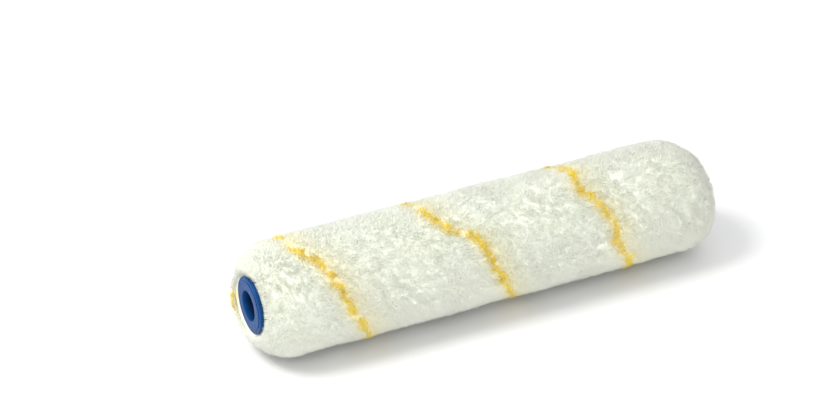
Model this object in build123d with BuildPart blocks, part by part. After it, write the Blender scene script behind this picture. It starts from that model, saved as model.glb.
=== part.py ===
from build123d import *
from math import ceil, floor, radians, tan
import os

# A small paint roller cover: a long-pile fabric sleeve bonded to a plastic core tube, with a
# push-in bush at each end that turns on the straight wire rod of a roller frame.
# The roller's axis is X, the origin is on the axis at mid-length, and +Z is up.
# All sizes are in millimetres.

# Pile sleeve
pile_length = 150.0
pile_diameter = 35.0
near_shoulder_length = 12.5
near_shoulder_height = 11.5
far_shoulder_length = 10.8
far_shoulder_height = 9.4
rest_flat_depth = 0.4  # the pile is pressed flat by the roller's own weight where it lies

# Fabric strip, wound right-handed round the tube
winding_pitch = 45.0
backing_thickness = 0.6
seam_width = 0.6  # measured along the axis
seam_at_top = 10.7  # where the strip's butted edges cross the top of the roller
tuft_diameter = 2.2
tufts_per_turn = 24
tuft_root_gap = 0.3
stripe_at_top = -11.8  # where the coloured line crosses the top of the roller

# Core tube and bonding film
tube_diameter = 15.0
tube_wall = 1.0
film_thickness = 0.2
film_end_margin = 1.5

# End bush, measured from its outer face into the roller
bush_face_inset = 2.7  # the pile stands this far past the bush's outer face
flange_diameter = 17.0
flange_thickness = 1.25
pad_diameter = 14.9
pad_height = 0.25
mouth_diameter = 9.0
mouth_depth = 7.0
funnel_length = 1.8
rod_diameter = 6.0
rod_clearance = 0.05
sleeve_diameter = 11.8
sleeve_length = 12.0
nose_length = 1.6
hub_diameter = 8.6
hub_length = 20.0
guide_rib_count = 3
guide_rib_width = 0.9
guide_rib_height = 1.1
guide_rib_recess = 3.6
guide_rib_angle = 23.0
crush_rib_count = 8
crush_rib_width = 1.2
press_allowance = 0.02
rib_root_overlap = 0.3
flange_edge_radius = 0.35
mouth_edge_radius = 0.3
nose_edge_radius = 0.5

# Sizes that follow from those
pile_radius = pile_diameter / 2
pile_half_length = pile_length / 2
tube_radius = tube_diameter / 2
tube_bore_radius = tube_radius - tube_wall
film_radius = tube_radius + film_thickness
backing_radius = film_radius + backing_thickness
flange_radius = flange_diameter / 2
flange_back = pad_height + flange_thickness
flange_gap = 0.1
band_overrun = 5.0  # past each end of the roller
band_margin = 1.0  # past the inside and outside of the layer that the band cuts
FULL_TURN = 360.0
SAME_SIZE = 1e-3
bush_face_x = pile_half_length - bush_face_inset
tube_length = 2 * (bush_face_x - flange_back)
mouth_radius = mouth_diameter / 2
funnel_end = mouth_depth + funnel_length
rod_hole_radius = rod_diameter / 2 + rod_clearance
sleeve_radius = sleeve_diameter / 2
hub_radius = hub_diameter / 2
sleeve_end = flange_back + sleeve_length
hub_end = flange_back + hub_length

os.makedirs("parts", exist_ok=True)


def finish(part, name):
    part.label = name
    export_step(part, f"parts/{name}.step")


def rims_of(builder, radius, at_x=None):
    """The round edges of this radius, or only the one at a given place along the axis."""
    rims = builder.edges().filter_by(GeomType.CIRCLE)
    rims = rims.filter_by(lambda rim: abs(rim.radius - radius) < SAME_SIZE)
    if at_x is None:
        return rims
    return rims.filter_by(lambda rim: abs(rim.arc_center.X - at_x) < SAME_SIZE)


def hollow_cylinder(outer_radius, inner_radius, length):
    """A plain tube on the roller's axis, centred on the origin."""
    with BuildPart() as sleeve:
        with BuildSketch(Plane.YZ.offset(-length / 2)):
            Circle(outer_radius)
            Circle(inner_radius, mode=Mode.SUBTRACT)
        extrude(amount=length)
    return sleeve.part


def wound_band(axial_width, layer_inner_radius, layer_outer_radius, x_at_top):
    """A right-handed helical band through a whole layer, crossing the roller's top at x_at_top."""
    inner_radius = layer_inner_radius - band_margin
    outer_radius = layer_outer_radius + band_margin
    start_x = -pile_half_length - band_overrun
    length = pile_length + 2 * band_overrun
    start_angle = FULL_TURN * (start_x - x_at_top) / winding_pitch
    half_width = outer_radius * tan(radians(FULL_TURN * axial_width / winding_pitch / 2))
    with BuildSketch(Plane.YZ.offset(start_x).rotated((0, 0, start_angle))) as section:
        Circle(outer_radius)
        Circle(inner_radius, mode=Mode.SUBTRACT)
        wedge = [(0, 0), (half_width, outer_radius), (-half_width, outer_radius)]
        Polygon(*wedge, align=None, mode=Mode.INTERSECT)
    twist = FULL_TURN * length / winding_pitch
    return Solid.extrude_linear_with_rotation(
        section.sketch.face(), (start_x, 0, 0), (length, 0, 0), twist
    )


def tuft_row(x_at_top):
    """Upright tufts along the winding, from just above the backing to past the pile's surface."""
    root_radius = backing_radius + tuft_root_gap
    first = ceil((-tube_length / 2 + tuft_diameter - x_at_top) / winding_pitch * tufts_per_turn)
    last = floor((tube_length / 2 - tuft_diameter - x_at_top) / winding_pitch * tufts_per_turn)
    with BuildPart() as tufts:
        for index in range(first, last + 1):
            angle = index / tufts_per_turn
            root = (x_at_top + angle * winding_pitch, 0, 0)
            outward = Vector(0, 0, 1).rotate(Axis.X, angle * FULL_TURN)
            with BuildSketch(Plane(root, x_dir=(1, 0, 0), z_dir=outward).offset(root_radius)):
                Circle(tuft_diameter / 2)
            extrude(amount=pile_radius + band_margin - root_radius)
    return tufts.part


def shoulder_arc(side, length, height):
    """Three points on the pile's rounded end: at the flange, half way round and at full diameter."""
    centre_x = side * (pile_half_length - length)
    centre_radius = pile_radius - height
    inner_radius = flange_radius + flange_gap
    reach = length * (1 - ((inner_radius - centre_radius) / height) ** 2) ** 0.5
    diagonal = 0.5**0.5
    return (
        (centre_x + side * reach, inner_radius),
        (centre_x + side * length * diagonal, centre_radius + height * diagonal),
        (centre_x, pile_radius),
    )


def pile_body():
    """The whole pile as one body: round shoulders, a bore on the backing and room for the flanges."""
    near = shoulder_arc(-1, near_shoulder_length, near_shoulder_height)
    far = shoulder_arc(1, far_shoulder_length, far_shoulder_height)
    shelf_x = tube_length / 2
    lower_half = Plane((0, 0, 0), x_dir=(1, 0, 0), z_dir=(0, 1, 0))
    with BuildPart() as pile:
        with BuildSketch(lower_half):
            with BuildLine():
                Spline(*near, tangents=((0, 1), (1, 0)))
                Line(near[-1], far[-1])
                Spline(*far, tangents=((0, 1), (-1, 0)))
                Polyline(
                    far[0],
                    (shelf_x, far[0][1]),
                    (shelf_x, backing_radius),
                    (-shelf_x, backing_radius),
                    (-shelf_x, near[0][1]),
                    near[0],
                )
            make_face()
        revolve(axis=Axis.X)
        with BuildSketch(Plane.XY.offset(-pile_radius)):
            Rectangle(pile_length, pile_diameter)
        extrude(amount=rest_flat_depth, mode=Mode.SUBTRACT)
    return pile.part


# Core tube
with BuildPart() as core_tube:
    add(hollow_cylinder(tube_radius, tube_bore_radius, tube_length))
finish(core_tube.part, "core_tube")

# Bonding film between the tube and the fabric
with BuildPart() as bonding_film:
    add(hollow_cylinder(film_radius, tube_radius, tube_length - 2 * film_end_margin))
finish(bonding_film.part, "bonding_film")

# Fabric backing: one strip wound round the tube, its edges butted along a helical seam
with BuildPart() as backing_strip:
    add(hollow_cylinder(backing_radius, film_radius, tube_length))
    add(
        wound_band(seam_width, film_radius, backing_radius, seam_at_top),
        mode=Mode.SUBTRACT,
    )
finish(backing_strip.part, "backing_strip")

# Pile: pale tufts all over, and a coloured line of single tufts that follows the strip round
whole_pile = pile_body()
coloured_tufts = tuft_row(stripe_at_top)

with BuildPart() as pale_pile:
    add(whole_pile)
    add(coloured_tufts, mode=Mode.SUBTRACT)
finish(pale_pile.part, "pale_pile")

with BuildPart() as stripe_pile:
    add(coloured_tufts)
    add(whole_pile, mode=Mode.INTERSECT)
finish(stripe_pile.part, "stripe_pile")

# End bushes: the same moulding pressed into both ends of the tube
for side, name in ((-1, "near_end_bush"), (1, "far_end_bush")):
    outer_face = Plane((side * bush_face_x, 0, 0), x_dir=(0, 1, 0), z_dir=(-side, 0, 0))
    half_section = Plane(outer_face.origin, x_dir=outer_face.z_dir, z_dir=(0, -1, 0))
    with BuildPart() as end_bush:
        with BuildSketch(half_section):
            with BuildLine():
                Polyline(
                    (0, mouth_radius),
                    (0, pad_diameter / 2),
                    (pad_height, pad_diameter / 2),
                    (pad_height, flange_radius),
                    (flange_back, flange_radius),
                    (flange_back, sleeve_radius),
                    (sleeve_end, sleeve_radius),
                    (sleeve_end + nose_length, hub_radius),
                    (hub_end, hub_radius),
                    (hub_end, rod_hole_radius),
                    (funnel_end, rod_hole_radius),
                    (mouth_depth, mouth_radius),
                    close=True,
                )
            make_face()
        revolve(axis=Axis(outer_face.origin, outer_face.z_dir))
        fillet(rims_of(end_bush, flange_radius), flange_edge_radius)
        fillet(rims_of(end_bush, mouth_radius, at_x=outer_face.origin.X), mouth_edge_radius)
        fillet(rims_of(end_bush, hub_radius, at_x=side * (bush_face_x - hub_end)), nose_edge_radius)

        # Ribs along the mouth that steer the rod to the hole
        with BuildSketch(outer_face.offset(guide_rib_recess)):
            with PolarLocations(
                mouth_radius + (rib_root_overlap - guide_rib_height) / 2,
                guide_rib_count,
                start_angle=guide_rib_angle,
            ):
                Rectangle(guide_rib_height + rib_root_overlap, guide_rib_width)
        extrude(amount=mouth_depth - guide_rib_recess)

        # Ribs along the sleeve that grip the tube
        with BuildSketch(outer_face.offset(flange_back)):
            Circle(tube_bore_radius - press_allowance)
            Circle(sleeve_radius - rib_root_overlap, mode=Mode.SUBTRACT)
            with PolarLocations(0, crush_rib_count):
                Rectangle(tube_diameter, crush_rib_width, mode=Mode.INTERSECT)
        extrude(amount=sleeve_length)
    finish(end_bush.part, name)
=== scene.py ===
import math

import bmesh
import bpy
import numpy as np
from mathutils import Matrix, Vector


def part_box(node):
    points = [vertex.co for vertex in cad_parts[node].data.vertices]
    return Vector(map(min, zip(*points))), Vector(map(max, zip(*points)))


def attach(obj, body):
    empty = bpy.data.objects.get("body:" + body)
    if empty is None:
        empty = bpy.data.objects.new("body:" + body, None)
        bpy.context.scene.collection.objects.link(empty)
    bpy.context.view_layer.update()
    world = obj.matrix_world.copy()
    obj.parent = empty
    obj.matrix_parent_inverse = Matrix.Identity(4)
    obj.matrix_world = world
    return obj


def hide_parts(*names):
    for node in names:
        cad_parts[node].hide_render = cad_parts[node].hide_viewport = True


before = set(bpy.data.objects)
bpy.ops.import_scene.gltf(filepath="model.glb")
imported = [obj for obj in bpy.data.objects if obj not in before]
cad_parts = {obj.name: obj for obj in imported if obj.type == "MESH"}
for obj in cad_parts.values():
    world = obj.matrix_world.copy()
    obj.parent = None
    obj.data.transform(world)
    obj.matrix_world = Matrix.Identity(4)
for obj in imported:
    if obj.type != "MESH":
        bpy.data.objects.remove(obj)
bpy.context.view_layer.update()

# Lengths below are in millimetres, and places are worked out from the parts in model.glb. MM turns them
# into metres.
MM = 0.001
rng = np.random.default_rng(7)

pile_low, pile_high = (np.array(corner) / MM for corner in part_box("pale_pile"))
near_low, near_high = (np.array(corner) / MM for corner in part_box("near_end_bush"))
far_high = np.array(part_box("far_end_bush")[1]) / MM

PILE_END = pile_high[0]
PILE_RADIUS = pile_high[2]
FLOOR_Z = pile_low[2]
FLANGE_RADIUS = near_high[2]
NEAR_FACE_X = near_low[0]
FAR_FACE_X = far_high[0]
HUB_DEPTH = near_high[0] - near_low[0]

# The coloured line winds right-handed round the roller. Angles go from the top over the front side.
WINDING_PITCH = 45.0
STRIPE_AT_TOP = -11.8
TURN = 2 * math.pi


# ---------------------------------------------------------------- materials


class Nodes:
    """A short way to add and link the nodes of one material."""

    def __init__(self, name):
        self.material = bpy.data.materials.new(name)
        self.material.use_nodes = True
        self.tree = self.material.node_tree
        self.shader = self.tree.nodes["Principled BSDF"]

    def add(self, kind, **settings):
        node = self.tree.nodes.new(kind)
        for key, value in settings.items():
            setattr(node, key, value)
        return node

    def link(self, output, socket):
        self.tree.links.new(output, socket)

    def set(self, **values):
        for name, value in values.items():
            self.shader.inputs[name.replace("_", " ")].default_value = value

    def noise(self, scale, detail=2.0, roughness=0.5, vector=None):
        node = self.add("ShaderNodeTexNoise")
        node.inputs["Scale"].default_value = scale
        node.inputs["Detail"].default_value = detail
        node.inputs["Roughness"].default_value = roughness
        self.link(vector or self.place(), node.inputs["Vector"])
        return node.outputs["Fac"]

    def place(self):
        return self.add("ShaderNodeTexCoord").outputs["Object"]

    def ramp(self, value, stops):
        node = self.add("ShaderNodeValToRGB")
        while len(node.color_ramp.elements) < len(stops):
            node.color_ramp.elements.new(0.5)
        for element, (position, colour) in zip(node.color_ramp.elements, stops):
            element.position = position
            element.color = (*colour, 1)
        self.link(value, node.inputs["Fac"])
        return node.outputs["Color"]

    def mix(self, factor, a, b, blend="MIX"):
        node = self.add("ShaderNodeMix", data_type="RGBA", blend_type=blend)
        for source, socket in ((factor, node.inputs[0]), (a, node.inputs[6]), (b, node.inputs[7])):
            if isinstance(source, bpy.types.NodeSocket):
                self.link(source, socket)
            else:
                socket.default_value = source if isinstance(source, float) else (*source, 1)
        return node.outputs[2]

    def maths(self, operation, a, b):
        node = self.add("ShaderNodeMath", operation=operation)
        for source, socket in ((a, node.inputs[0]), (b, node.inputs[1])):
            if isinstance(source, bpy.types.NodeSocket):
                self.link(source, socket)
            else:
                socket.default_value = source
        return node.outputs[0]

    def bump(self, height, strength, distance):
        node = self.add("ShaderNodeBump")
        node.inputs["Strength"].default_value = strength
        node.inputs["Distance"].default_value = distance
        self.link(height, node.inputs["Height"])
        self.link(node.outputs["Normal"], self.shader.inputs["Normal"])


STREAK_STRENGTH = 0.5


def fibre_material(name, root, tip, tinted, streak):
    """Pile fibres: tip and root colours, with the darker root colour as painted shade deep in the pile,
    patches of another shade, and a tint near the coloured line.
    """
    m = Nodes(name)
    along = m.add("ShaderNodeAttribute", attribute_name="along").outputs["Fac"]
    halo = m.add("ShaderNodeAttribute", attribute_name="halo").outputs["Fac"]
    # Painted shade: the colour darkens from tip (along 1) to root (along 0), as shade does deep in the
    # pile.
    base = m.mix(along, root, tip)
    patches = m.ramp(m.noise(scale=140.0, detail=3.0), ((0.35, (0.0,) * 3), (0.7, (1.0,) * 3)))
    base = m.mix(m.maths("MULTIPLY", patches, STREAK_STRENGTH), base, streak)
    fine = m.ramp(m.noise(scale=900.0), ((0.3, (0.96,) * 3), (0.7, (1.0,) * 3)))
    base = m.mix(1.0, base, fine, "MULTIPLY")
    m.link(m.mix(halo, base, tinted), m.shader.inputs["Base Color"])
    m.set(Roughness=0.85, Specular_IOR_Level=0.1)
    return m.material


def blue_plastic_material():
    """Moulded plastic with faint flow marks, a fine grain, a satin shine and painted shade darkening the
    bore with depth.
    """
    m = Nodes("blue_plastic")
    flow = m.ramp(
        m.noise(scale=260.0, detail=4.0, roughness=0.6),
        ((0.3, (0.004, 0.046, 0.17)), (0.55, (0.005, 0.056, 0.20)), (0.8, (0.010, 0.072, 0.24))),
    )
    # Painted shade: the bore's colour darkens the deeper it lies.
    painted_bore_shade = m.add("ShaderNodeAttribute", attribute_name="painted_bore_shade").outputs["Fac"]
    shade = m.ramp(painted_bore_shade, ((0.15, (1.0,) * 3), (0.75, (0.3,) * 3)))
    m.link(m.mix(1.0, flow, shade, "MULTIPLY"), m.shader.inputs["Base Color"])
    shine = m.ramp(m.noise(scale=900.0), ((0.3, (0.30,) * 3), (0.75, (0.46,) * 3)))
    m.link(shine, m.shader.inputs["Roughness"])
    m.bump(m.noise(scale=2600.0, detail=3.0, roughness=0.6), strength=0.12, distance=0.00006)
    m.set(Specular_IOR_Level=0.11)
    return m.material


def tube_material():
    """Extruded pale plastic with draw lines along the axis."""
    m = Nodes("core_tube_plastic")
    mapping = m.add("ShaderNodeMapping")
    mapping.inputs["Scale"].default_value = (0.04, 1.0, 1.0)
    m.link(m.place(), mapping.inputs["Vector"])
    lines = m.noise(scale=1500.0, vector=mapping.outputs["Vector"])
    colour = m.ramp(lines, ((0.3, (0.62, 0.64, 0.63)), (0.7, (0.78, 0.79, 0.78))))
    m.link(colour, m.shader.inputs["Base Color"])
    m.bump(lines, strength=0.25, distance=0.0001)
    m.set(Roughness=0.42)
    return m.material


def film_material():
    """Melted bonding film: uneven, slightly yellow and glossy."""
    m = Nodes("bonding_film_melt")
    flow = m.noise(scale=220.0, detail=4.0, roughness=0.65)
    colour = m.ramp(flow, ((0.3, (0.66, 0.58, 0.40)), (0.7, (0.82, 0.77, 0.62))))
    m.link(colour, m.shader.inputs["Base Color"])
    m.bump(flow, strength=0.4, distance=0.0002)
    m.set(Roughness=0.3)
    return m.material


def backing_material():
    """Plain weave: two sets of yarns seen as crossed waves."""
    m = Nodes("backing_weave")
    waves = []
    for direction in ("X", "Z"):
        wave = m.add("ShaderNodeTexWave", bands_direction=direction, wave_profile="SIN")
        wave.inputs["Scale"].default_value = 420.0
        wave.inputs["Distortion"].default_value = 0.6
        m.link(m.place(), wave.inputs["Vector"])
        waves.append(wave.outputs["Fac"])
    weave = m.maths("MULTIPLY", *waves)
    colour = m.ramp(weave, ((0.0, (0.50, 0.49, 0.43)), (0.6, (0.80, 0.79, 0.72))))
    m.link(colour, m.shader.inputs["Base Color"])
    m.bump(weave, strength=0.6, distance=0.0002)
    m.set(Roughness=0.85)
    return m.material


def floor_material():
    m = Nodes("pale_floor")
    tone = m.ramp(m.noise(scale=3.0), ((0.3, (0.835, 0.835, 0.84)), (0.7, (0.845, 0.845, 0.845))))
    m.link(tone, m.shader.inputs["Base Color"])
    m.set(Roughness=0.9, Specular_IOR_Level=0.1)
    return m.material


# In both fibre materials the root colour is darker than the tip colour: painted shade deep in the pile.
PALE = fibre_material(
    "pale_fibre",
    root=(0.92, 0.94, 0.815),
    tip=(0.94, 0.957, 0.86),
    tinted=(0.97, 0.88, 0.53),
    streak=(0.915, 0.95, 0.855),
)
YELLOW = fibre_material(
    "yellow_fibre",
    root=(1.0, 0.73, 0.04),
    tip=(1.0, 0.80, 0.09),
    tinted=(1.0, 0.89, 0.45),
    streak=(1.0, 0.73, 0.04),
)
BLUE = blue_plastic_material()


# ---------------------------------------------------------------- meshes


def mesh_object(name, points, quads, triangles, material, slot, attributes=None, normals=None):
    """A mesh from numpy arrays in millimetres: points, then quads and triangles as rows of corners."""
    mesh = bpy.data.meshes.new(name)
    mesh.vertices.add(len(points))
    mesh.vertices.foreach_set("co", (points * MM).astype(np.float32).ravel())
    corners = np.concatenate([quads.ravel(), triangles.ravel()]).astype(np.int32)
    mesh.loops.add(len(corners))
    mesh.loops.foreach_set("vertex_index", corners)
    starts = np.concatenate([np.arange(len(quads)) * 4, quads.size + np.arange(len(triangles)) * 3])
    mesh.polygons.add(len(starts))
    mesh.polygons.foreach_set("loop_start", starts.astype(np.int32))
    for key, values in (attributes or {}).items():
        made = mesh.attributes.new(key, "FLOAT", "POINT")
        made.data.foreach_set("value", values.astype(np.float32))
    mesh.polygons.foreach_set("use_smooth", np.full(len(starts), True))
    mesh.update(calc_edges=True)
    mesh.validate()
    if normals is not None:
        normals = normals / np.linalg.norm(normals, axis=1)[:, None]
        mesh.normals_split_custom_set_from_vertices(normals.astype(np.float32))
    mesh.materials.append(material)
    piece = bpy.data.objects.new(name, mesh)
    bpy.context.scene.collection.objects.link(piece)
    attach(piece, "root")
    return piece


NO_TRIANGLES = np.zeros((0, 3), int)


def lathe(profile, steps):
    """Points and quads of a closed (x, radius) outline swept once round the X axis."""
    profile = np.array(profile, float)
    angles = np.arange(steps) * TURN / steps
    x = np.broadcast_to(profile[None, :, 0], (steps, len(profile)))
    y = profile[None, :, 1] * np.cos(angles)[:, None]
    z = profile[None, :, 1] * np.sin(angles)[:, None]
    points = np.stack([x, y, z], -1).reshape(-1, 3)
    i, j = np.meshgrid(np.arange(steps), np.arange(len(profile)), indexing="ij")
    i2, j2 = (i + 1) % steps, (j + 1) % len(profile)
    n = len(profile)
    quads = np.stack([i * n + j, i * n + j2, i2 * n + j2, i2 * n + j], -1).reshape(-1, 4)
    return points, quads


# ---------------------------------------------------------------- the pile's outer surface


def smoothstep(low, high, value):
    t = np.clip((value - low) / (high - low), 0, 1)
    return t * t * (3 - 2 * t)


# The outline of the brushed pile: superellipse shoulders, fuller at the far end.
NEAR_LENGTH, NEAR_HEIGHT, NEAR_POWER = 14.0, 16.0, 2.2
FAR_LENGTH, FAR_HEIGHT, FAR_POWER = 13.0, 11.0, 2.1
LIP_GAP = 1.9
LIP_RADIUS = FLANGE_RADIUS + LIP_GAP
SHOULDER_STEPS = 60
LOWEST_SINE = 0.02


def shoulder_points(end_x, side, length, height, power):
    centre_x, centre_r = end_x - side * length, PILE_RADIUS - height
    first = math.asin(max((LIP_RADIUS - centre_r) / height, LOWEST_SINE) ** (power / 2))
    t = np.linspace(first, math.pi / 2, SHOULDER_STEPS)
    x = centre_x + side * length * np.cos(t) ** (2 / power)
    return np.stack([x, centre_r + height * np.sin(t) ** (2 / power)], 1)


# The pile turns in over the flange's edge: depth behind the lip and drop towards the axis.
LIP_TURN = np.array([(1.7, 1.85), (1.2, 1.85), (0.7, 1.6), (0.35, 1.1), (0.12, 0.55)])


def lip_points(first, side):
    return first + LIP_TURN * np.array([-side, -1])


near_part = shoulder_points(-PILE_END, -1, NEAR_LENGTH, NEAR_HEIGHT, NEAR_POWER)
far_part = shoulder_points(PILE_END, 1, FAR_LENGTH, FAR_HEIGHT, FAR_POWER)[::-1]
near_lip = lip_points(near_part[0], -1)
far_lip = lip_points(far_part[-1], 1)[::-1]
OUTLINE = np.concatenate([near_lip, near_part, far_part, far_lip])
OUTLINE_AT = np.concatenate([[0], np.cumsum(np.hypot(*np.diff(OUTLINE, axis=0).T))])
OUTLINE_LENGTH = OUTLINE_AT[-1]
slope = np.gradient(OUTLINE, OUTLINE_AT, axis=0)
SLOPE = slope / np.hypot(*slope.T)[:, None]

# An even spread over the surface needs more places where the radius is larger.
area_steps = np.diff(OUTLINE_AT) * (OUTLINE[1:, 1] + OUTLINE[:-1, 1]) / 2
AREA_AT = np.concatenate([[0], np.cumsum(area_steps)])


def along_outline(share):
    """Distance along the outline that leaves this share of the surface behind it."""
    return np.interp(share * AREA_AT[-1], AREA_AT, OUTLINE_AT)


def directions(at, angle):
    """The surface point with its outward, along-the-outline and round-the-roller directions."""
    x, r = (np.interp(at, OUTLINE_AT, OUTLINE[:, i]) for i in (0, 1))
    tx, tr = (np.interp(at, OUTLINE_AT, SLOPE[:, i]) for i in (0, 1))
    sine, cosine = np.sin(angle), np.cos(angle)
    point = np.stack([x, -r * sine, r * cosine], -1)
    outward = np.stack([-tr, -tx * sine, tx * cosine], -1)
    lengthways = np.stack([tx, -tr * sine, tr * cosine], -1)
    around = np.stack([0 * x, -cosine, -sine], -1)
    return point, outward, lengthways, around


class Waves:
    """A smooth random field over the surface, the same after a whole turn."""

    def __init__(self, count, shortest, longest):
        wavelength = rng.uniform(shortest, longest, count)
        heading = rng.uniform(0, TURN, count)
        self.along = TURN / wavelength * np.cos(heading)
        self.around = np.round(PILE_RADIUS * TURN / wavelength * np.sin(heading))
        self.phase = rng.uniform(0, TURN, count)
        self.size = 1 / math.sqrt(count / 2)

    def __call__(self, at, angle):
        total = 0.0
        for k, q, phase in zip(self.along, self.around, self.phase):
            total = total + np.sin(k * at + q * angle + phase)
        return total * self.size


lean_lengthways, lean_around = Waves(14, 9, 34), Waves(14, 9, 34)
swell, ripple = Waves(12, 16, 40), Waves(20, 3.5, 8)

# Round the near flange the pile is parted on the front side and bulges past it on the back side.
PARTING_ANGLE = math.radians(53)
PARTING_DEPTH = 1.9
BULGE = 1.0
PARTING_OUTER_RADIUS = 13.5
PARTING_INNER_RADIUS = 9.5

# The far end's rim is brushed back at the top and out at the bottom front.
FAR_RIM_ANGLE = math.radians(140)
FAR_RIM_SHIFT, FAR_RIM_MEAN = 1.7, -0.5
FAR_RIM_START_X, FAR_RIM_INNER_RADIUS, FAR_RIM_RADIUS = 52.0, 9.0, 15.0


def end_shift(point, angle):
    """How far along X the brushed pile at the ends stands from its mean outline."""
    r = np.hypot(point[:, 1], point[:, 2])
    rim = smoothstep(FAR_RIM_START_X, PILE_END, point[:, 0])
    rim = rim * smoothstep(FAR_RIM_INNER_RADIUS, FAR_RIM_RADIUS, r)
    far = rim * (FAR_RIM_SHIFT * np.cos(angle - FAR_RIM_ANGLE) + FAR_RIM_MEAN)
    near = smoothstep(PARTING_OUTER_RADIUS, PARTING_INNER_RADIUS, r) * (point[:, 0] < 0)
    facing = 0.5 + 0.5 * np.cos(angle - PARTING_ANGLE)
    return far + near * (PARTING_DEPTH * facing**2 - BULGE * (1 - facing))


SETTLED_HEIGHT = 0.7


def settle(points):
    """Fibres that would pass through the floor lie down on it instead."""
    height = points[:, 2] - FLOOR_Z
    low = height < SETTLED_HEIGHT
    points[low, 2] = FLOOR_Z + SETTLED_HEIGHT * np.exp(height[low] / SETTLED_HEIGHT - 1)
    return points


FLANGE_CLEARANCE, RIM_OVERLAP, RIM_OVERLAP_SPREAD = 0.12, 0.35, 0.12
FLANGE_REACH, FACE_CLEARANCE = 1.7, 0.08
SMALLEST_RADIUS = 0.1


def clear_of_flange(points):
    """Keeps the pile off the two flanges. In front of their faces it laps a little over the rim."""
    x = points[:, 0]
    r = np.hypot(points[:, 1], points[:, 2])
    gap = np.full(len(points), FLANGE_RADIUS + FLANGE_CLEARANCE)
    in_front = (x < NEAR_FACE_X - FACE_CLEARANCE) | (x > FAR_FACE_X + FACE_CLEARANCE)
    gap[in_front] = FLANGE_RADIUS - RIM_OVERLAP + rng.normal(0, RIM_OVERLAP_SPREAD, in_front.sum())
    beyond = (x < NEAR_FACE_X + FLANGE_REACH) | (x > FAR_FACE_X - FLANGE_REACH)
    inside = beyond & (r < gap)
    points[inside, 1:] *= (gap[inside] / np.maximum(r[inside], SMALLEST_RADIUS))[:, None]
    return points


# Stations along the coloured line, by turns since the top of the middle turn: how far the combed-over
# line has strayed along X, and the share of its tufts that lie buried under the pale ones.
STRAY_TURN = (
    *(-1.40, -1.33, -1.20, -1.05, -1.02, -0.986, -0.953, -0.92, -0.82, -0.786, -0.753, -0.72, -0.68),
    *(-0.30, -0.053, -0.019, 0.014, 0.047, 0.081, 0.114, 0.147, 0.28, 0.314),
    *(0.70, 0.981, 1.014, 1.047, 1.081, 1.114, 1.18, 1.214, 1.247, 1.28, 1.314, 1.90),
)
STRAY = (
    *(-4.0, -4.0, -1.5, 1.0, -1.0, -2.9, -1.5, -0.2, -0.3, -0.9, -1.4, 0.1, 0.1),
    *(-1.5, -3.5, -4.8, -6.3, -5.9, -4.3, -0.2, 0.5, 0.5, 1.0),
    *(-0.5, -1.7, -3.4, -5.5, -6.1, -4.5, -3.9, -4.6, -6.1, -5.8, -5.2, -2.0),
)
BURIED_TURN = (
    *(-1.4, -1.08, -1.02, -0.99, -0.95, -0.78, -0.74),
    *(-0.05, 0.02, 0.06, 0.22, 0.29),
    *(0.95, 1.05, 1.15, 1.2, 1.35),
)
BURIED = (
    *(0.15, 0.5, 0.8, 0.6, 0.08, 0.1, 0.45),
    *(0.5, 0.3, 0.0, 0.0, 0.45),
    *(0.6, 0.35, 0.1, 0.35, 0.3),
)


def stripe_x(turn):
    """Where the coloured line is along X after this many turns."""
    return STRIPE_AT_TOP + WINDING_PITCH * turn + np.interp(turn, STRAY_TURN, STRAY)


def distance_to_stripe(x, angle):
    """Distance along X from the nearest turn of the coloured line, positive on its far side."""
    share = angle / TURN
    turn = share + np.round((x - STRIPE_AT_TOP) / WINDING_PITCH - share)
    return x - stripe_x(turn)


# ---------------------------------------------------------------- fibres

FIBRE_DEPTH = 2.6
SIDES = 3
RING_AT = np.array([0.0, 0.62])
RING_RADIUS = np.array([0.13, 0.11])
# A bundle of fibres scatters light like the surface it stands on, so its normals lean outwards.
OUTWARD_SHARE = 0.35
BEND_POWER = 1.8
TIP_LOOSENESS = 0.22
FIBRE_HEIGHT_SPREAD = 0.15
THICKNESS, THINNEST, THICKEST = 0.95, 0.7, 1.25


def fibres(at, angle, tip_shift, height, thickness, halo):
    """Tapered, bent three-sided fibres. tip_shift is (lengthways, around) in millimetres."""
    point, outward, lengthways, around = directions(at, angle)
    point[:, 0] += end_shift(point, angle)
    count = len(at)
    root = point - outward * FIBRE_DEPTH
    reach = outward * (FIBRE_DEPTH + height)[:, None]
    shift = lengthways * tip_shift[0][:, None] + around * tip_shift[1][:, None]
    rings, normals = [], []
    spin = rng.uniform(0, TURN, count)
    for u, radius in zip(RING_AT, RING_RADIUS):
        centre = root + reach * u + shift * u**BEND_POWER
        for side in range(SIDES):
            a = spin + side * TURN / SIDES
            wide = (radius * thickness)[:, None]
            sideways = np.cos(a)[:, None] * lengthways + np.sin(a)[:, None] * around
            rings.append(centre + wide * sideways)
            normals.append(outward * OUTWARD_SHARE + sideways * (1 - OUTWARD_SHARE))
    tip = root + reach + shift
    points = np.stack([*rings, tip], 1)
    normals = np.stack([*normals, outward], 1).reshape(-1, 3)
    per = points.shape[1]
    flat = clear_of_flange(settle(points.reshape(-1, 3)))
    quads = []
    for ring in range(len(RING_AT) - 1):
        for side in range(SIDES):
            a, b = ring * SIDES + side, ring * SIDES + (side + 1) % SIDES
            quads.append((a, a + SIDES, b + SIDES, b))
    last = (len(RING_AT) - 1) * SIDES
    triangles = [(last + s, per - 1, last + (s + 1) % SIDES) for s in range(SIDES)]
    offset = (np.arange(count) * per)[:, None, None]
    quads = (np.array(quads)[None] + offset).reshape(-1, 4)
    triangles = (np.array(triangles)[None] + offset).reshape(-1, 3)
    along = np.tile(np.concatenate([np.repeat(RING_AT, SIDES), [1.0]]), count)
    return flat, quads, triangles, {"along": along, "halo": np.repeat(halo, per)}, normals


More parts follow.
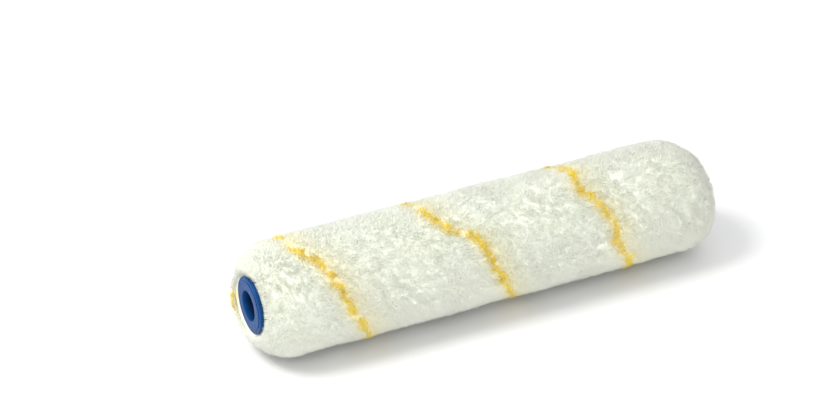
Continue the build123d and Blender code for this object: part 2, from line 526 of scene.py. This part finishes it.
def tufts(at, angle, per_tuft, spread, gather, lean, height):
    """Fibres in tufts: roots spread round each tuft's place, tips gathered towards its tip."""
    radius = np.interp(at, OUTLINE_AT, OUTLINE[:, 1])
    rows = np.repeat(np.arange(len(at)), per_tuft)
    scatter = rng.normal(0, spread, (2, len(rows)))
    fibre_at = np.clip(at[rows] + scatter[0], 0, OUTLINE_LENGTH)
    fibre_angle = angle[rows] + scatter[1] / radius[rows]
    loose = rng.normal(0, TIP_LOOSENESS, (2, len(rows)))
    shift = [lean[i][rows] - gather * scatter[i] + loose[i] for i in (0, 1)]
    fibre_height = height[rows] + rng.normal(0, FIBRE_HEIGHT_SPREAD, len(rows))
    fibre_thickness = THICKNESS * rng.uniform(THINNEST, THICKEST, len(rows))
    return fibre_at, fibre_angle, shift, fibre_height, fibre_thickness


BRUSHED_LENGTHWAYS, BRUSHED_AROUND, SWIRL = 0.15, 0.35, 0.16
SWELL_HEIGHT, RIPPLE_HEIGHT = 0.12, 0.05
TUFT_HEIGHT_SPREAD = 0.12


def combed(at, angle, tuft_lean):
    """The lean of each tuft's tip: brushed round the roller, swirling slowly, uneven by tuft."""
    count = len(at)
    lengthways = BRUSHED_LENGTHWAYS + SWIRL * lean_lengthways(at, angle) + rng.normal(0, tuft_lean, count)
    around = BRUSHED_AROUND + SWIRL * lean_around(at, angle) + rng.normal(0, tuft_lean, count)
    return lengthways, around


def pile_height(at, angle):
    """How far the tips stand above or below the mean outline."""
    slow = SWELL_HEIGHT * swell(at, angle) + RIPPLE_HEIGHT * ripple(at, angle)
    return slow + rng.normal(0, TUFT_HEIGHT_SPREAD, len(at))


TUFT_COUNT = 11000
FIBRES_PER_TUFT = 15
GOLDEN = (math.sqrt(5) - 1) / 2
REGIONS = 10
PALE_SHARE_JITTER, PALE_ANGLE_SPREAD = 0.4, 0.02
PALE_LEAN_SPREAD, PALE_TUFT_SPREAD, PALE_GATHER = 0.2, 0.62, 0.32

# Few pale fibres grow where the coloured line does, and those near it take on its tint.
STRIPE_HALF_WIDTH = 1.1
STRIPE_EDGE_LOW, STRIPE_EDGE_HIGH = 0.75, 1.25
CLEARED_SHARE = 0.93
HALO_NEAR_SIDE, HALO_FAR_SIDE = 3.0, 6.0
HALO_WEAKEST, HALO_STRONGEST = 0.15, 0.95


def pale_pile():
    index = np.arange(TUFT_COUNT)
    jitter = rng.uniform(-PALE_SHARE_JITTER, PALE_SHARE_JITTER, TUFT_COUNT)
    share = (index + 0.5 + jitter) / TUFT_COUNT
    at = along_outline(np.clip(share, 0, 1))
    angle = (index * GOLDEN % 1) * TURN + rng.normal(0, PALE_ANGLE_SPREAD, TUFT_COUNT)
    lean = combed(at, angle, PALE_LEAN_SPREAD)
    height = pile_height(at, angle)
    at, angle, shift, height, thickness = tufts(
        at, angle, FIBRES_PER_TUFT, PALE_TUFT_SPREAD, PALE_GATHER, lean, height
    )
    x = np.interp(at, OUTLINE_AT, OUTLINE[:, 0])
    away = distance_to_stripe(x, angle)
    edge = rng.uniform(STRIPE_EDGE_LOW, STRIPE_EDGE_HIGH, len(at))
    clear = np.abs(away) < STRIPE_HALF_WIDTH * edge
    keep = ~(clear & (rng.uniform(0, 1, len(at)) < CLEARED_SHARE))
    width = np.where(away > 0, HALO_FAR_SIDE, HALO_NEAR_SIDE)
    halo = np.exp(-((away / width) ** 2)) * rng.uniform(HALO_WEAKEST, HALO_STRONGEST, len(at))
    region = np.minimum((at / OUTLINE_LENGTH * REGIONS).astype(int), REGIONS - 1)
    for number in range(REGIONS):
        pick = keep & (region == number)
        made = fibres(
            at[pick],
            angle[pick],
            [part[pick] for part in shift],
            height[pick],
            thickness[pick],
            halo[pick],
        )
        name = f"pale_tufts_{number + 1:02d}"
        piece = mesh_object(name, *made[:3], PALE, "pale_pile", *made[3:])
        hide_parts("pale_pile")


STRIPE_TURNS = (-1.34, 1.95)
STRIPE_TUFT_SPACING = 1.45
STRIPE_FIBRES_PER_TUFT = 52
STRIPE_TURN_SPREAD, STRIPE_SIDE_SPREAD, STRIPE_END_MARGIN = 0.003, 0.55, 0.2
STRIPE_LEAN_SPREAD, STRIPE_TUFT_SPREAD, STRIPE_GATHER = 0.5, 0.88, 0.3
STRIPE_LIFT, BURIED_DROP = 0.12, 1.1
STRIPE_HALO_POWER = 3


def stripe_pile():
    radius_turn = math.hypot(TURN * PILE_RADIUS, WINDING_PITCH)
    first, last = STRIPE_TURNS
    count = int((last - first) * radius_turn / STRIPE_TUFT_SPACING)
    turn = np.linspace(first, last, count) + rng.normal(0, STRIPE_TURN_SPREAD, count)
    angle = turn * TURN
    outer = slice(len(near_lip), len(OUTLINE) - len(far_lip))
    at = np.interp(stripe_x(turn), OUTLINE[outer, 0], OUTLINE_AT[outer])
    at = at + rng.normal(0, STRIPE_SIDE_SPREAD, count)
    at = np.clip(at, STRIPE_END_MARGIN, OUTLINE_LENGTH - STRIPE_END_MARGIN)
    lean = combed(at, angle, STRIPE_LEAN_SPREAD)
    sunk = rng.uniform(0, 1, count) < np.interp(turn, BURIED_TURN, BURIED)
    height = pile_height(at, angle) + STRIPE_LIFT - BURIED_DROP * sunk
    made = tufts(
        at, angle, STRIPE_FIBRES_PER_TUFT, STRIPE_TUFT_SPREAD, STRIPE_GATHER, lean, height
    )
    halo = rng.uniform(0, 1, len(made[0])) ** STRIPE_HALO_POWER
    made = fibres(*made, halo)
    piece = mesh_object("stripe_tufts", *made[:3], YELLOW, "yellow_pile", *made[3:])
    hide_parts("stripe_pile")


BED_DEPTH, BED_RIPPLE = 1.3, 0.1
BED_STEPS = 150
BED_TURN_STEPS = 144
BED_HALO_WIDTH, BED_HALO, BED_ALONG = 3.0, 0.8, 0.3


def pile_bed():
    """The dense pile under the tips, down to the backing, as one closed body."""
    at = np.linspace(0, OUTLINE_LENGTH, BED_STEPS)
    angle = np.arange(BED_TURN_STEPS) * TURN / BED_TURN_STEPS
    grid_at, grid_angle = (g.ravel() for g in np.meshgrid(at, angle, indexing="ij"))
    point, outward, _, _ = directions(grid_at, grid_angle)
    point[:, 0] += end_shift(point, grid_angle)
    dent = BED_DEPTH + BED_RIPPLE * ripple(grid_at, grid_angle)
    outer = point - outward * dent[:, None]
    outer = clear_of_flange(settle(outer)).reshape(BED_STEPS, BED_TURN_STEPS, 3)
    bore = FLANGE_RADIUS + FLANGE_CLEARANCE
    inner = []
    for x in (outer[-1, :, 0], outer[0, :, 0]):
        inner.append(np.stack([x, -bore * np.sin(angle), bore * np.cos(angle)], -1))
    shell = np.concatenate([outer, np.stack(inner)])
    steps = len(shell)
    i, j = np.meshgrid(np.arange(steps), np.arange(BED_TURN_STEPS), indexing="ij")
    i2, j2 = (i + 1) % steps, (j + 1) % BED_TURN_STEPS
    n = BED_TURN_STEPS
    quads = np.stack([i * n + j, i2 * n + j, i2 * n + j2, i * n + j2], -1).reshape(-1, 4)
    x = shell.reshape(-1, 3)[:, 0]
    away = distance_to_stripe(x, np.tile(angle, steps))
    halo = np.exp(-((away / BED_HALO_WIDTH) ** 2)) * BED_HALO
    # The bed takes a colour partway from root to tip: painted shade deep in the pile.
    facts = {"along": np.full(len(x), BED_ALONG), "halo": halo}
    points = shell.reshape(-1, 3)
    piece = mesh_object("pile_bed", points, quads, NO_TRIANGLES, PALE, "pale_pile", facts)
    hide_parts("pale_pile")


# ---------------------------------------------------------------- end bushes

BUSH_TURN_STEPS = 160
PAD_RADIUS, PAD_HEIGHT = 7.45, 0.25
FLANGE_THICKNESS = 1.25
MOUTH_RADIUS, MOUTH_DEPTH, FUNNEL_LENGTH = 4.5, 7.0, 1.8
ROD_HOLE_RADIUS = 3.05
SLEEVE_RADIUS, SLEEVE_LENGTH, NOSE_LENGTH = 5.9, 12.0, 1.6
HUB_RADIUS = 4.3
ROUND_STEPS = 6
# Little light reaches the bore, so its colour is painted darker with depth as far as this: painted shade.
DARK_DEPTH = 3.0
BORE_MARGIN = 0.05
PAD_DRAFT = 0.02


def rounded(outline, radii):
    """A closed outline with each corner rounded by its radius."""
    points = []
    for i, (corner, radius) in enumerate(zip(outline, radii)):
        corner = np.array(corner, float)
        before = np.array(outline[i - 1], float) - corner
        after = np.array(outline[(i + 1) % len(outline)], float) - corner
        start = corner + before / np.hypot(*before) * radius
        end = corner + after / np.hypot(*after) * radius
        for t in np.linspace(0, 1, ROUND_STEPS):
            points.append((1 - t) ** 2 * start + 2 * t * (1 - t) * corner + t**2 * end)
    return np.array(points)


def bush_outline():
    """The moulding's wall. Each corner is depth from the outer face, radius and rounding."""
    back = PAD_HEIGHT + FLANGE_THICKNESS
    sleeve_end = back + SLEEVE_LENGTH
    corners = [
        (0, MOUTH_RADIUS, 0.3),
        (0, PAD_RADIUS, 0.12),
        (PAD_HEIGHT, PAD_RADIUS + PAD_DRAFT, 0.08),
        (PAD_HEIGHT, FLANGE_RADIUS, 0.35),
        (back, FLANGE_RADIUS, 0.3),
        (back, SLEEVE_RADIUS, 0.15),
        (sleeve_end, SLEEVE_RADIUS, 0.3),
        (sleeve_end + NOSE_LENGTH, HUB_RADIUS, 0.3),
        (HUB_DEPTH, HUB_RADIUS, 0.4),
        (HUB_DEPTH, ROD_HOLE_RADIUS, 0.3),
        (MOUTH_DEPTH + FUNNEL_LENGTH, ROD_HOLE_RADIUS, 0.4),
        (MOUTH_DEPTH, MOUTH_RADIUS, 0.4),
        (DARK_DEPTH, MOUTH_RADIUS, 0.1),
        (DARK_DEPTH / 2, MOUTH_RADIUS, 0.1),
    ]
    return rounded([c[:2] for c in corners], [c[2] for c in corners])


CREST_STEPS = 7
LEAD_IN_DROP, LEAD_IN_LENGTH = 0.25, 0.35


def rib(middle_angle, crest_radius, root_radius, width, start, end, crown):
    """A moulded rib along the axis with a rounded crest. One whose crest points inwards has a lead-in."""
    across = np.linspace(-1, 1, CREST_STEPS)
    crest = crest_radius + crown * across**2
    top = np.stack([crest, across * width / 2], -1)
    section = np.concatenate([top, [[root_radius, width / 2], [root_radius, -width / 2]]])
    ends = []
    for x, drop in ((start, LEAD_IN_DROP), (start + LEAD_IN_LENGTH, 0.0), (end, 0.0)):
        r = section[:, 0] + drop * (section[:, 0] < root_radius)
        side = section[:, 1]
        y = r * math.cos(middle_angle) - side * math.sin(middle_angle)
        z = r * math.sin(middle_angle) + side * math.cos(middle_angle)
        ends.append(np.stack([np.full(len(r), x), y, z], -1))
    points = np.concatenate(ends)
    n = len(section)
    quads = [
        (ring * n + k, ring * n + (k + 1) % n, (ring + 1) * n + (k + 1) % n, (ring + 1) * n + k)
        for ring in range(len(ends) - 1)
        for k in range(n)
    ]
    last = (len(ends) - 1) * n
    caps = [(0, k + 1, k) for k in range(1, n - 1)]
    caps += [(last, last + k, last + k + 1) for k in range(1, n - 1)]
    return points, np.array(quads), np.array(caps)


GUIDE_RIBS, GUIDE_RIB_HEIGHT, GUIDE_RIB_WIDTH, GUIDE_RIB_ANGLE = 3, 1.1, 0.9, 23.0
GUIDE_RIB_RECESS = 3.6
GUIDE_RIB_CROWN = 0.12
CRUSH_RIBS, CRUSH_RIB_WIDTH, CRUSH_RIB_RADIUS, CRUSH_RIB_CROWN = 8, 1.2, 6.48, -0.1
RIB_ROOT = 0.25
SMOOTH_ANGLE = 32.0


def end_bush(name, node, face_x, inward):
    """The whole moulding, ribs included. inward is 1 or -1, the way along X into the roller."""
    parts = [(*lathe(bush_outline(), BUSH_TURN_STEPS), NO_TRIANGLES)]
    back = PAD_HEIGHT + FLANGE_THICKNESS
    for k in range(GUIDE_RIBS):
        a = math.radians(GUIDE_RIB_ANGLE) + k * TURN / GUIDE_RIBS
        radii = MOUTH_RADIUS - GUIDE_RIB_HEIGHT, MOUTH_RADIUS + RIB_ROOT
        ends = GUIDE_RIB_RECESS, MOUTH_DEPTH
        parts.append(rib(a, *radii, GUIDE_RIB_WIDTH, *ends, GUIDE_RIB_CROWN))
    for k in range(CRUSH_RIBS):
        a = k * TURN / CRUSH_RIBS
        radii = CRUSH_RIB_RADIUS, SLEEVE_RADIUS - RIB_ROOT
        ends = back, back + SLEEVE_LENGTH
        parts.append(rib(a, *radii, CRUSH_RIB_WIDTH, *ends, CRUSH_RIB_CROWN))
    total, all_points, all_quads, all_triangles = 0, [], [], []
    for part_points, part_quads, part_triangles in parts:
        all_points.append(part_points)
        all_quads.append(part_quads + total)
        all_triangles.append(part_triangles + total)
        total += len(part_points)
    points = np.concatenate(all_points)
    # Painted shade: how deep each bore point lies, which darkens its colour there.
    in_bore = np.hypot(points[:, 1], points[:, 2]) < MOUTH_RADIUS + BORE_MARGIN
    painted_bore_shade = np.clip(points[:, 0] / DARK_DEPTH, 0, 1) * in_bore
    points[:, 0] = face_x + inward * points[:, 0]
    piece = mesh_object(
        name,
        points,
        np.concatenate(all_quads),
        np.concatenate(all_triangles),
        BLUE,
        "blue_plastic",
        {"painted_bore_shade": painted_bore_shade},
    )
    consistent_normals(piece)
    piece.data.set_sharp_from_angle(angle=math.radians(SMOOTH_ANGLE))
    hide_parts(node)


def consistent_normals(piece):
    """Turns every face outwards."""
    work = bmesh.new()
    work.from_mesh(piece.data)
    bmesh.ops.recalc_face_normals(work, faces=work.faces)
    work.to_mesh(piece.data)
    work.free()


pale_pile()
stripe_pile()
pile_bed()
end_bush("near_bush_moulding", "near_end_bush", NEAR_FACE_X, 1)
end_bush("far_bush_moulding", "far_end_bush", FAR_FACE_X, -1)

for node, material in (
    ("core_tube", tube_material()),
    ("bonding_film", film_material()),
    ("backing_strip", backing_material()),
):
    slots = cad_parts[node].data.materials
    for i in range(len(slots)):
        slots[i] = material


# ---------------------------------------------------------------- stage, light and camera


FLOOR_HALF_WIDTH = 3000.0
WORLD_STRENGTH = 0.98
SENSOR_WIDTH = 36.0


def floor():
    half = FLOOR_HALF_WIDTH
    corners = np.array([[-half, -half, 0], [half, -half, 0], [half, half, 0], [-half, half, 0]])
    corners[:, 2] = FLOOR_Z
    mesh = bpy.data.meshes.new("floor")
    mesh.from_pydata([tuple(p * MM) for p in corners], [], [(0, 1, 2, 3)])
    mesh.materials.append(floor_material())
    plane = bpy.data.objects.new("floor", mesh)
    bpy.context.scene.collection.objects.link(plane)


def studio():
    world = bpy.data.worlds.new("studio")
    world.use_nodes = True
    background = world.node_tree.nodes["Background"]
    background.inputs["Color"].default_value = (1.0, 1.0, 1.0, 1)
    background.inputs["Strength"].default_value = WORLD_STRENGTH
    bpy.context.scene.world = world
    soft_light("key", place=(-0.52, 0.08, 0.80), size=0.36, energy=4.8)
    soft_light("fill", place=(-0.45, -0.95, 0.22), size=0.6, energy=2.3)


def soft_light(name, place, size, energy):
    """A round area light that faces the roller. Its place and size are in metres."""
    lamp = bpy.data.lights.new(name, "AREA")
    lamp.shape = "DISK"
    lamp.size = size
    lamp.energy = energy
    light = bpy.data.objects.new(name, lamp)
    light.location = place
    light.rotation_euler = (-light.location).to_track_quat("-Z", "Y").to_euler()
    bpy.context.scene.collection.objects.link(light)


CAMERA_AZIMUTH, CAMERA_ELEVATION = math.radians(-26.5), math.radians(34.0)
CAMERA_LENS = 133.6
# The camera's distance and where it aims beside the origin, in metres.
CAMERA_DISTANCE = 0.9
AIM_RIGHT, AIM_UP = -0.0186, 0.0129


def camera():
    data = bpy.data.cameras.new("camera")
    data.sensor_width = SENSOR_WIDTH
    data.lens = CAMERA_LENS
    eye = bpy.data.objects.new("camera", data)
    bpy.context.scene.collection.objects.link(eye)
    a, e = CAMERA_AZIMUTH, CAMERA_ELEVATION
    back = Vector((math.sin(a) * math.cos(e), -math.cos(a) * math.cos(e), math.sin(e)))
    right = Vector((math.cos(a), math.sin(a), 0))
    up = back.cross(right)
    eye.location = back * CAMERA_DISTANCE
    aim = right * AIM_RIGHT + up * AIM_UP
    eye.rotation_euler = (aim - eye.location).to_track_quat("-Z", "Y").to_euler()
    bpy.context.scene.camera = eye


floor()
studio()
camera()
bpy.context.scene.view_settings.view_transform = "Standard"

bpy.context.view_layer.update()
